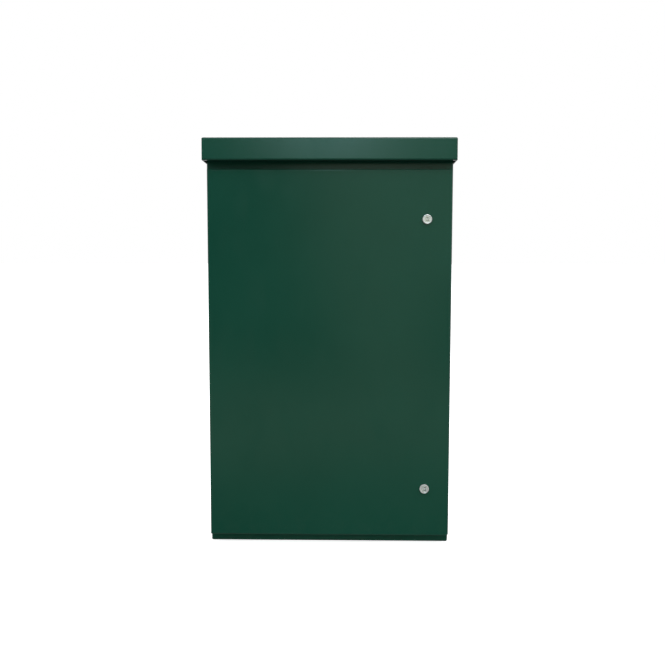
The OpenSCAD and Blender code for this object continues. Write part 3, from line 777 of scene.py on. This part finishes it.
class Lathe:
    """Turned shapes about the Z axis."""

    @staticmethod
    def chain(name: str, profile: Sequence[tuple[float, float]]) -> bpy.types.Object:
        """Draws a profile as a chain of edges in the plane through the axis.

        Args:
            name: The object's name.
            profile: Radius and height of each corner in mm.

        Returns:
            The chain at the origin.
        """
        points = [Vector((r * MM, 0.0, z * MM)) for r, z in profile]
        bpy.ops.object.select_all(action="DESELECT")
        bpy.ops.mesh.primitive_plane_add(size=MM, location=(0.0, 0.0, 0.0))
        piece = bpy.context.active_object
        piece.name = name
        with Bench.editing(piece):
            bpy.ops.mesh.merge(type="CENTER")
            bpy.ops.transform.translate(value=points[0])
            for before, after in zip(points, points[1:]):
                bpy.ops.mesh.extrude_vertices_move(TRANSFORM_OT_translate={"value": after - before})
        return piece

    @staticmethod
    def turn(name: str, profile: Sequence[tuple[float, float]], steps: int = 32) -> bpy.types.Object:
        """Spins a profile into a closed shape.

        Args:
            name: The shape's name.
            profile: Radius and height of each corner in mm, from the axis back to the axis, or
                ending where it starts for a ring.
            steps: Number of flats round the axis.

        Returns:
            The turned object at the origin.
        """
        piece = Lathe.chain(name, profile)
        with Bench.editing(piece):
            bpy.ops.mesh.spin(
                steps=steps, angle=TAU, center=(0.0, 0.0, 0.0), axis=(0.0, 0.0, 1.0)
            )
            bpy.ops.mesh.select_all(action="SELECT")
            bpy.ops.mesh.remove_doubles(threshold=SAME_SPOT)
            bpy.ops.mesh.normals_make_consistent(inside=False)
        return piece

    @staticmethod
    def rib(name: str, size: float, pitch: float, low: float, high: float) -> bpy.types.Object:
        """The rib of a screw thread, cut off square at both ends.

        Args:
            name: The rib's name.
            size: Outside diameter in mm.
            pitch: Distance between turns in mm.
            low: Height of its lower end in mm.
            high: Height of its upper end in mm.

        Returns:
            The rib at the origin.
        """
        crest, foot = size / 2, size / 2 - RIB_DEPTH * pitch
        start = low - 1.5 * pitch
        profile = [(foot, start + 0.04 * pitch), (crest, start + 0.43 * pitch)]
        profile += [(crest, start + 0.57 * pitch), (foot, start + 0.96 * pitch), profile[0]]
        piece = Lathe.chain(name, profile)
        with Bench.editing(piece):
            bpy.ops.mesh.remove_doubles(threshold=SAME_SPOT)
        turns = math.ceil((high - low) / pitch) + 3
        settings = {"axis": "Z", "angle": TAU, "screw_offset": pitch * MM, "iterations": turns}
        settings |= {"steps": 20, "render_steps": 20, "use_merge_vertices": False}
        Bench.apply(piece, "SCREW", settings)
        with Bench.editing(piece):
            bpy.ops.mesh.fill_holes(sides=4)
            bpy.ops.mesh.select_all(action="SELECT")
            bpy.ops.mesh.normals_make_consistent(inside=False)
        lead = 0.7 * pitch
        blank = [(0.0, low), (crest - lead, low), (crest + 0.01, low + lead)]
        blank += [(crest + 0.01, high - lead), (crest - lead, high), (0.0, high)]
        Bench.shape(piece, Lathe.turn("blank", blank, 40), "INTERSECT")
        return piece

    @staticmethod
    def thread(name: str, size: float, pitch: float, low: float, high: float) -> bpy.types.Object:
        """A threaded rod with chamfered ends.

        Args:
            name: The rod's name.
            size: Outside diameter in mm.
            pitch: Distance between turns in mm.
            low: Height of its lower end in mm.
            high: Height of its upper end in mm.

        Returns:
            The rod at the origin.
        """
        root = size / 2 - CORE_DEPTH * pitch
        lead = 0.2 * pitch
        profile = [(0.0, low), (root - lead, low), (root, low + lead)]
        profile += [(root, high - lead), (root - lead, high), (0.0, high)]
        core = Lathe.turn(name, profile, 24)
        return Bench.join([core, Lathe.rib("rib", size, pitch, low, high)], name)

    @staticmethod
    def prism(name: str, corner: float, low: float, high: float) -> bpy.types.Object:
        """A plain hexagonal prism with a corner on the X axis.

        Args:
            name: The prism's name.
            corner: Radius to its corners in mm.
            low: Height of its lower end in mm.
            high: Height of its upper end in mm.

        Returns:
            The prism at the origin.
        """
        bpy.ops.object.select_all(action="DESELECT")
        bpy.ops.mesh.primitive_cylinder_add(
            vertices=6,
            radius=corner * MM,
            depth=(high - low) * MM,
            location=(0.0, 0.0, (low + high) * MM / 2),
            rotation=(0.0, 0.0, HALF_FACET),
        )
        piece = bpy.context.active_object
        piece.name = name
        Bench.settle(piece)
        return piece

    @staticmethod
    def hexagon(name: str, across: float, height: float, bore: float = 0.0) -> bpy.types.Object:
        """A hexagon with its corners turned off, standing on z = 0.

        Args:
            name: The shape's name.
            across: Width across flats in mm.
            height: Its height in mm.
            bore: Diameter of its thread in mm, or 0 for a solid one.

        Returns:
            The hexagon at the origin.
        """
        corner = across / math.sqrt(3)
        face, r = across * 0.475, bore / 2
        drop = (corner + 0.1 - face) * math.tan(HALF_FACET)
        outside = [(face, 0.0), (corner + 0.1, drop), (corner + 0.1, height - drop), (face, height)]
        profile = [(0.0, 0.0), *outside, (0.0, height)]
        if bore:
            profile = [(r, 0.6), (r + 0.6, 0.0), *outside, (r + 0.6, height), (r, height - 0.6), (r, 0.6)]
        piece = Lathe.prism(name, corner, -1.0, height + 1.0)
        Bench.shape(piece, Lathe.turn("corners", profile, 46), "INTERSECT")
        return piece


@dataclass
class SoftSheet:
    """A CAD node carried over with its cut edges rounded as a thick coat leaves them."""

    node: str
    body: str
    finish: Finish
    edge: float = 0.35
    segments: int = 2
    sharp: float = 40.0

    def grind(self, piece: bpy.types.Object) -> None:
        """Shapes the bare copy first; a plain sheet needs nothing."""

    def build(self) -> bpy.types.Object:
        """Makes the piece.

        Returns:
            The piece, dressed and riding on its body.
        """
        piece = Bench.copy_node(self.node, self.node + "_sheet")
        self.grind(piece)
        Bench.soften(piece, self.edge, self.segments, self.sharp)
        Bench.hand_over(piece, self.finish, self.body, [self.node])
        return piece


@dataclass
class RoundedPan(SoftSheet):
    """A folded pan whose four welded corners are ground round, with the weld left inside."""

    corner: float = 1.3
    depth_axis: int = 1
    slack: float = 0.3
    side_slack: float = 0.3
    shortest: float = 5.0

    def is_corner(self, first: Vector, second: Vector) -> bool:
        """Tells whether an edge is one of the pan's four outer corners.

        Args:
            first: One end of the edge.
            second: Its other end.

        Returns:
            Whether it stands in a corner and runs along the pan's depth.
        """
        low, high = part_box(self.node)
        for axis in {0, 1, 2} - {self.depth_axis}:
            slack = MM * (self.side_slack if axis == 0 else self.slack)
            ends = (first[axis], second[axis])
            at_low = all(abs(end - low[axis]) < slack for end in ends)
            at_high = all(abs(end - high[axis]) < slack for end in ends)
            if not at_low and not at_high:
                return False
        return abs(first[self.depth_axis] - second[self.depth_axis]) > self.shortest * MM

    def grind(self, piece: bpy.types.Object) -> None:
        """Rounds the pan's four outer corners.

        Args:
            piece: The bare copy.
        """
        with Bench.editing(piece):
            Bench.choose_edges(piece, self.is_corner)
            bpy.ops.mesh.bevel(offset=self.corner * MM, segments=4, affect="EDGES")


@dataclass
class Fitting:
    """One kind of fixing: modelled once in mm and copied to each solid of its CAD node."""

    node: str
    body: str
    finish: Finish
    facing: Facing

    def model(self, length: float) -> bpy.types.Object:
        """Makes the model, standing on z = 0 and `length` mm long."""
        raise NotImplementedError

    def build(self) -> bpy.types.Object:
        """Makes the piece.

        Returns:
            All the copies as one piece, dressed and riding on its body.
        """
        boxes = Bench.parts_of(self.node)
        way = self.facing.turn() @ Vector((0.0, 0.0, 1.0))
        axis = max(range(3), key=lambda i: abs(way[i]))
        places = []
        for count, (low, high) in enumerate(boxes):
            start = (low + high) / 2
            start[axis] = low[axis] if way[axis] > 0 else high[axis]
            clocking = Matrix.Rotation(math.radians(CLOCKING * count), 4, "Z")
            places.append(Matrix.Translation(start) @ self.facing.turn() @ clocking)
        length = (boxes[0][1][axis] - boxes[0][0][axis]) / MM
        model = self.model(length)
        Bench.smooth(model, 28.0)
        piece = Bench.place_copies(model, places, self.node + "_made")
        Bench.hand_over(piece, self.finish, self.body, [self.node])
        return piece


@dataclass
class HexNuts(Fitting):
    """Hexagon nuts."""

    bore: float = 5.0
    across: float = 8.0

    def model(self, length: float) -> bpy.types.Object:
        """One nut."""
        return Lathe.hexagon(self.node, self.across, length, self.bore)


@dataclass
class Studs(Fitting):
    """Studs threaded from end to end."""

    size: float = 5.0
    pitch: float = 0.8

    def model(self, length: float) -> bpy.types.Object:
        """One stud."""
        return Lathe.thread(self.node, self.size, self.pitch, 0.0, length)


@dataclass
class HexScrews(Fitting):
    """Screws with a hexagon head at z = 0."""

    size: float = 6.0
    pitch: float = 1.0
    across: float = 9.6
    head: float = 3.6

    def model(self, length: float) -> bpy.types.Object:
        """Makes one screw.

        Args:
            length: Its length in mm.

        Returns:
            The screw at the origin.
        """
        head = Lathe.hexagon(self.node, self.across, self.head)
        shank = Lathe.thread("shank", self.size, self.pitch, self.head - 0.6, length)
        return Bench.join([head, shank], self.node)


@dataclass
class DomeScrews(Fitting):
    """Screws with a low domed head and a hexagon socket at z = 0."""

    size: float = 5.0
    pitch: float = 0.8
    head_r: float = 4.5
    head: float = 3.0

    def model(self, length: float) -> bpy.types.Object:
        """Makes one screw.

        Args:
            length: Its length in mm.

        Returns:
            The screw at the origin.
        """
        r, h = self.head_r, self.head
        flat = math.cos(HALF_FACET)
        angles = [math.radians(a) for a in range(30, 91, 12)]
        dome = [(r * math.sin(a), h * 0.8 * (1 - math.cos(a) / flat)) for a in angles]
        profile = [(0.0, 0.0), *dome, (r, h - 0.2), (r - 0.2, h), (0.0, h)]
        screw = Lathe.turn(self.node, profile, 40)
        Bench.shape(screw, Lathe.prism("socket", 1.8, -1.0, 2.0), "DIFFERENCE")
        shank = Lathe.thread("shank", self.size, self.pitch, h - 0.6, length)
        return Bench.join([screw, shank], self.node)


@dataclass
class SunkScrews(Fitting):
    """Screws whose countersunk head ends at z = length, with a hexagon socket."""

    size: float = 8.0
    pitch: float = 1.25

    def model(self, length: float) -> bpy.types.Object:
        """Makes one screw.

        Args:
            length: Its length in mm.

        Returns:
            The screw at the origin.
        """
        r = self.size / 2
        profile = [(0.0, length - r - 0.4), (r - 0.4, length - r - 0.4), (2 * r - 0.5, length - 0.5)]
        profile += [(2 * r - 0.05, length - 0.35), (2 * r - 0.1, length - 0.08)]
        profile += [(2 * r - 0.35, length), (0.0, length)]
        screw = Lathe.turn(self.node, profile, 48)
        socket = Lathe.prism("socket", self.size * 0.36, length - self.size * 0.3, length + 1)
        Bench.shape(screw, socket, "DIFFERENCE")
        shank = Lathe.thread("shank", self.size, self.pitch, 0.0, length - r)
        return Bench.join([screw, shank], self.node)


@dataclass
class Rings(Fitting):
    """Turned rings: washers and spacers."""

    outer: float = 8.8
    inner: float = 4.3
    edge: float = 0.25

    def model(self, length: float) -> bpy.types.Object:
        """Makes one ring.

        Args:
            length: Its length in mm.

        Returns:
            The ring at the origin.
        """
        e = self.edge
        profile = [(self.inner, e), (self.inner + e, 0.0), (self.outer - e, 0.0), (self.outer, e)]
        profile += [(self.outer, length - e), (self.outer - e, length), (self.inner + e, length)]
        profile += [(self.inner, length - e), (self.inner, e)]
        return Lathe.turn(self.node, profile, 48)


@dataclass
class Pins(Fitting):
    """Hinge pins with a domed head at z = 0."""

    radius: float = 2.5
    head_r: float = 4.0
    head: float = 2.0

    def model(self, length: float) -> bpy.types.Object:
        """Makes one pin.

        Args:
            length: Its length in mm.

        Returns:
            The pin at the origin.
        """
        r, k, h = self.radius, self.head_r, self.head
        profile = [(0.0, 0.0), (k * 0.45, 0.12), (k * 0.8, 0.6), (k, 1.4)]
        profile += [(k, h - 0.1), (k - 0.1, h), (r, h)]
        profile += [(r, length - 0.8), (r - 0.8, length), (0.0, length)]
        return Lathe.turn(self.node, profile, 36)


@dataclass
class LockHousings(Fitting):
    """Round lock heads on threaded barrels; z = 0 is the barrel's inner end."""

    head_r: float = 11.5
    head: float = 4.0
    well_r: float = 8.6
    well: float = 2.4
    bore_r: float = 6.5
    barrel: float = 18.0
    pitch: float = 1.0

    def model(self, length: float) -> bpy.types.Object:
        """Makes one housing.

        Args:
            length: Its length in mm.

        Returns:
            The housing at the origin.
        """
        r, well, top, low = self.head_r, self.well_r, length, length - self.head
        root, bore = self.barrel / 2 - CORE_DEPTH * self.pitch, self.bore_r
        profile = [(bore, 0.6), (bore + 0.6, 0.0), (root - 0.3, 0.0), (root, 0.3), (root, low)]
        profile += [(r - 0.25, low), (r, low + 0.25), (r, top - 1.3), (r - 0.12, top - 0.75)]
        profile += [(r - 0.45, top - 0.3), (r - 0.95, top - 0.06), (r - 1.5, top)]
        profile += [(well + 0.75, top - 0.04), (well + 0.25, top - 0.25), (well, top - 0.7)]
        profile += [(well, top - self.well), (bore, top - self.well), (bore, 0.6)]
        housing = Lathe.turn(self.node, profile, 64)
        rib = Lathe.rib("barrel_rib", self.barrel, self.pitch, 0.0, low)
        return Bench.join([housing, rib], self.node)


@dataclass
class WeldBeads:
    """Short weld beads laid in corners: one is modelled and copied."""

    name: str
    body: str
    length: float
    radius: float = 1.6
    ripple: float = 1.5

    def build(self, starts: Sequence[Vector], facing: Facing) -> bpy.types.Object:
        """Lays the beads.

        Args:
            starts: Where each bead starts.
            facing: The way that the beads run.

        Returns:
            All the beads as one piece.
        """
        count = int(self.length / self.ripple)
        end = count * self.ripple
        profile = [(0.0, 0.0)]
        for step in range(count):
            profile.append((self.radius * 0.82, (step + 0.05) * self.ripple))
            profile.append((self.radius, (step + 0.6) * self.ripple))
        profile += [(self.radius * 0.7, end), (0.0, end)]
        model = Lathe.turn(self.name, profile, 12)
        Bench.smooth(model, ROUND_SHADING)
        places = [Matrix.Translation(start) @ facing.turn() for start in starts]
        piece = Bench.place_copies(model, places, self.name)
        Bench.hand_over(piece, PAINT, self.body, [])
        return piece


# ---- Sub-assemblies ----


@dataclass
class Shell:
    """The welded body with its base ring, floor and roof."""

    panels: tuple[str, ...] = (
        "body_wrap", "base_ring", "sill_strip", "header_strip", "top_panel",
        "roof_bar_front", "roof_bar_rear", "floor_plate_front", "floor_plate_rear",
    )
    bead: float = 36.0
    inset: float = 2.4
    lean: float = 1.3
    front_start: float = 20.0
    back_start: float = 4.0

    def build(self) -> None:
        """Makes the body's panels, its roof and their fixings."""
        for panel in self.panels:
            SoftSheet(panel, "cabinet", PAINT).build()
        RoundedPan("roof_canopy", "cabinet", PAINT, depth_axis=2, slack=3.0).build()
        HexScrews("roof_bolts", "cabinet", ZINC, Facing.UP, 8.0, 1.25, 12.8, 4.8).build()
        Rings("roof_washers", "cabinet", ZINC, Facing.UP).build()
        HexNuts("roof_weld_nuts", "cabinet", ZINC, Facing.UP, 8.0, 12.8).build()
        HexScrews("floor_screws", "cabinet", ZINC, Facing.DOWN).build()
        HexNuts("floor_weld_nuts", "cabinet", ZINC, Facing.UP, 6.0, 9.6).build()
        for node in ("slot_edging_front", "slot_edging_rear"):
            SoftSheet(node, "cabinet", RUBBER, 0.8, 3).build()
        self.weld_roof()

    def weld_roof(self) -> None:
        """Lays a bead up each inner corner of the roof's lips."""
        low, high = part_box("roof_canopy")
        inset, lean = self.inset * MM, self.lean * MM
        front = (low[1] + inset + lean, low[2] + self.front_start * MM)
        back = (high[1] - inset - lean * 0.5, low[2] + self.back_start * MM)
        sides = (low[0] + inset, high[0] - inset)
        starts = [Vector((x, y, z)) for x in sides for y, z in (front, back)]
        WeldBeads("roof_corner_welds", "cabinet", self.bead).build(starts, Facing.UP)


@dataclass
class Door:
    """The pan door with its stiffener and earth stud."""

    sheet: float = 2.0
    foot: float = 1.5
    spot_pitch: float = 61.0
    spot_x: float = 28.5
    bead: float = 18.0
    bead_start: float = 4.0

    def build(self) -> None:
        """Makes the door's pan, stiffener, welds and earthing."""
        RoundedPan("door_panel", "door", PAINT).build()
        SoftSheet("door_stiffener", "door", PAINT, 0.3).build()
        Studs("door_earth_stud", "door", BRASS, Facing.BACK, 6.0, 1.0).build()
        HexNuts("door_earth_nut", "door", BRASS, Facing.BACK, 6.0, 9.6).build()
        self.weld_corners()
        self.weld_spots()

    def weld_corners(self) -> None:
        """Lays a bead along each inner corner of the pan."""
        low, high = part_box("door_panel")
        inset = (self.sheet + 0.4) * MM
        starts = [
            Vector((x, low[1] + self.bead_start * MM, z))
            for x in (low[0] + inset, high[0] - inset)
            for z in (low[2] + inset, high[2] - inset)
        ]
        WeldBeads("door_corner_welds", "door", self.bead).build(starts, Facing.BACK)

    def weld_spots(self) -> None:
        """Presses a row of spot welds along each foot of the stiffener."""
        low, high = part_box("door_stiffener")
        profile = [(0.0, -0.3), (3.4, -0.3), (3.3, 0.02), (2.9, 0.16)]
        profile += [(2.4, 0.10), (1.6, 0.03), (0.0, 0.01)]
        model = Lathe.turn("door_spot_welds", profile, 20)
        Bench.smooth(model, ROUND_SHADING)
        pitch = self.spot_pitch * MM
        rows = int((high[2] - low[2]) / pitch)
        start = (low[2] + high[2] - (rows - 1) * pitch) / 2
        face = low[1] + self.foot * MM
        places = [
            Matrix.Translation((side * self.spot_x * MM, face, start + i * pitch)) @ Facing.BACK.turn()
            for side in (-1, 1)
            for i in range(rows)
        ]
        piece = Bench.place_copies(model, places, "door_spot_welds")
        Bench.hand_over(piece, PAINT, "door", [])


@dataclass
class Hinges:
    """Two concealed lift-off hinges and their fixings."""

    edge: float = 0.45

    def build(self) -> None:
        """Makes the leaves, pins, washers and fixings."""
        for level in ("lower", "upper"):
            SoftSheet(f"hinge_body_leaf_{level}", "cabinet", ZINC, self.edge).build()
            SoftSheet(f"hinge_door_leaf_{level}", "door", ZINC, self.edge).build()
            Pins(f"hinge_pin_{level}", "cabinet", ZINC, Facing.UP).build()
        SoftSheet("hinge_thrust_washers", "cabinet", NYLON, 0.2).build()
        DomeScrews("hinge_screws", "cabinet", ZINC, Facing.BACK).build()
        HexNuts("hinge_screw_nuts", "cabinet", ZINC, Facing.BACK).build()
        Studs("door_hinge_studs", "door", ZINC, Facing.BACK).build()
        HexNuts("door_hinge_nuts", "door", ZINC, Facing.BACK).build()


@dataclass
class Locks:
    """Two quarter-turn locks with their cams."""

    edge: float = 0.25

    def build(self) -> None:
        """Makes the housings, inserts, cams and fixings."""
        for level in ("lower", "upper"):
            LockHousings(f"lock_housing_{level}", "door", CHROME, Facing.FRONT).build()
            SoftSheet(f"lock_insert_{level}", f"lock_{level}", CHROME, self.edge).build()
            SoftSheet(f"lock_cam_{level}", f"lock_{level}", ZINC, 0.4).build()
            HexScrews(
                f"cam_screw_{level}", f"lock_{level}", ZINC, Facing.FRONT, 5.0, 0.8, 11.0, 3.0
            ).build()
        SoftSheet("lock_gaskets", "door", RUBBER, 0.2).build()
        HexNuts("lock_nuts", "door", ZINC, Facing.BACK, 18.0, 24.0).build()


@dataclass
class Inside:
    """The backboard, the body's earth stud and the door's seal."""

    def build(self) -> None:
        """Makes the pieces."""
        SoftSheet("backboard", "cabinet", PLYWOOD, 0.5).build()
        Rings("backboard_spacers", "cabinet", ZINC, Facing.FRONT, 8.0, 4.02, 0.5).build()
        SunkScrews("backboard_screws", "cabinet", ZINC, Facing.FRONT).build()
        Studs("earth_stud", "cabinet", BRASS, Facing.FRONT, 8.0, 1.25).build()
        HexNuts("earth_nuts", "cabinet", BRASS, Facing.FRONT, 8.0, 12.8).build()
        SoftSheet("door_seal", "cabinet", RUBBER, 0.4).build()


@dataclass
class Viewpoint:
    """Where the cabinet is looked at from."""

    place: Rgb = (0.044, -2.244, 0.724)
    yaw: float = -1.00
    pitch: float = 5.28
    roll: float = -0.09
    lens: float = 46.015

    def build(self) -> None:
        """Makes the camera and puts it in use."""
        yaw, pitch, roll = (math.radians(a) for a in (self.yaw, self.pitch, self.roll))
        level = math.cos(pitch)
        ahead = Vector((math.sin(yaw) * level, math.cos(yaw) * level, -math.sin(pitch)))
        right = Vector((math.cos(yaw), -math.sin(yaw), 0.0))
        down = ahead.cross(right)
        across = right * math.cos(roll) + down * math.sin(roll)
        up = right * math.sin(roll) - down * math.cos(roll)
        data = bpy.data.cameras.new("viewpoint")
        data.lens = self.lens
        data.sensor_width = 36.0
        camera = bpy.data.objects.new("viewpoint", data)
        bpy.context.scene.collection.objects.link(camera)
        turn = Matrix((across, up, -ahead)).transposed().to_4x4()
        camera.matrix_world = Matrix.Translation(self.place) @ turn
        bpy.context.scene.camera = camera


@dataclass
class Studio:
    """A plain pale floor under soft light."""

    floor_reach: float = 60.0
    dim: float = 0.03
    wall: float = 0.56
    window: float = 5.0
    wings: float = 0.85
    sky: float = 0.95
    ground: float = 0.24

    def build(self) -> None:
        """Makes the floor, the surroundings and the lamps."""
        self.lay_floor()
        self.light_surroundings()
        self.hang_lamp("front", (0.9, -1.9, 3.0), (0.0, -0.1, 0.6), (1.8, 1.2), 22.0)
        self.hang_lamp("rear", (0.3, 3.0, 2.0), (0.0, 0.0, 0.5), (2.4, 1.6), 18.0)
        view = bpy.context.scene.view_settings
        view.view_transform = "Standard"

    def lay_floor(self) -> None:
        """Makes the floor, which gives a light of its own and neither mirrors nor bounces any."""
        bpy.ops.object.select_all(action="DESELECT")
        bpy.ops.mesh.primitive_circle_add(
            vertices=96, radius=self.floor_reach, fill_type="NGON", location=(0.0, 0.0, 0.0)
        )
        floor = bpy.context.active_object
        floor.name = "studio_floor"
        floor.visible_glossy = False
        floor.visible_diffuse = False
        made = bpy.data.materials.new("studio_floor")
        made.use_nodes = True
        graph = Graph(made.node_tree)
        tone = graph.ease(graph.noise(graph.place(), 6.0, 4.0), 0.3, 0.7)
        rest = {"Specular IOR Level": 0.1, "Emission Color": (1.0, 1.0, 1.0, 1.0), "Emission Strength": 0.8}
        graph.surface(graph.tint(tone, (0.90, 0.90, 0.90), (0.93, 0.93, 0.93)), 0.8, rest)
        floor.data.materials.append(made)

    def light_surroundings(self) -> None:
        """Makes the surroundings: plain white to look at, with a wall and a bright pane to mirror."""
        world = bpy.data.worlds.new("studio")
        bpy.context.scene.world = world
        world.use_nodes = True
        graph = Graph(world.node_tree)
        x, y, z = graph.axes(graph.wire(graph.make("ShaderNodeTexCoord"), "Generated"))
        ahead = graph.ease(y, -0.80, -0.93)
        lean = (0.0 - z).most(0.0) * 0.45 - 0.05
        gap = graph.ease(x, 0.085, 0.105) * graph.ease(z, 0.05, -0.14)
        right = graph.ease(x - lean, -0.022, 0.022) * (1 - gap)
        strip = graph.ease(z, -0.10, -0.19)
        lit = right.most(strip) * (1 - graph.ease(z, -0.22, -0.29))
        lit = lit * graph.ease(z, 0.11, 0.16, 1.0, 0.5)
        pane = graph.ease((x + 0.02).size(), 0.115, 0.02)
        pane = pane * graph.ease(z, 0.13, 0.22) * graph.ease(z, 0.6, 0.35)
        round_about = self.wings + (self.sky - self.wings) * graph.ease(z, 0.1, 0.5)
        round_about = round_about + (self.ground - self.wings) * graph.ease(z, 0.0, -0.45)
        level = (self.dim + lit * (self.wall - self.dim)) * ahead + round_about * (1 - ahead)
        level = level * (1 - pane * ahead) + pane * ahead * self.window
        tone = graph.tint(ahead * (1 - pane), (0.97, 0.99, 1.0), (1.02, 1.13, 0.86))
        tone = graph.tint(ahead * pane, tone, (0.50, 0.93, 1.0))
        soft = graph.make("ShaderNodeBackground", {}, {"Color": tone, "Strength": level})
        plain = graph.make("ShaderNodeBackground", {}, {"Color": (1, 1, 1, 1), "Strength": 1.0})
        seen = graph.wire(graph.make("ShaderNodeLightPath"), "Is Camera Ray")
        mixed = graph.make(
            "ShaderNodeMixShader", {}, {0: seen, 1: graph.wire(soft), 2: graph.wire(plain)}
        )
        graph.make("ShaderNodeOutputWorld", {}, {0: graph.wire(mixed)})

    @staticmethod
    def hang_lamp(name: str, place: Rgb, target: Rgb, size: tuple[float, float], power: float) -> None:
        """Hangs one soft lamp.

        Args:
            name: The lamp's name.
            place: Where it hangs.
            target: What it faces.
            size: Width and height of its panel.
            power: Its power in watts.
        """
        data = bpy.data.lights.new(name, "AREA")
        data.shape = "RECTANGLE"
        data.size, data.size_y = size
        data.energy = power
        lamp = bpy.data.objects.new(name, data)
        bpy.context.scene.collection.objects.link(lamp)
        aim = (Vector(target) - Vector(place)).to_track_quat("-Z", "Y")
        lamp.matrix_world = Matrix.Translation(place) @ aim.to_matrix().to_4x4()
        lamp.visible_camera = False


PAINT = PowderCoat()
ZINC = ZincPlate()
CHROME = ChromePlate()
RUBBER = BlackRubber()
NYLON = Nylon()
BRASS = TurnedBrass()
PLYWOOD = BirchPlywood()


def main() -> None:
    """Builds the scene."""
    logging.basicConfig(level=logging.INFO, format="%(message)s")
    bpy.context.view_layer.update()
    Viewpoint().build()
    Studio().build()
    for assembly in (Shell(), Door(), Hinges(), Locks(), Inside()):
        assembly.build()


if __name__ == "__main__":
    main()
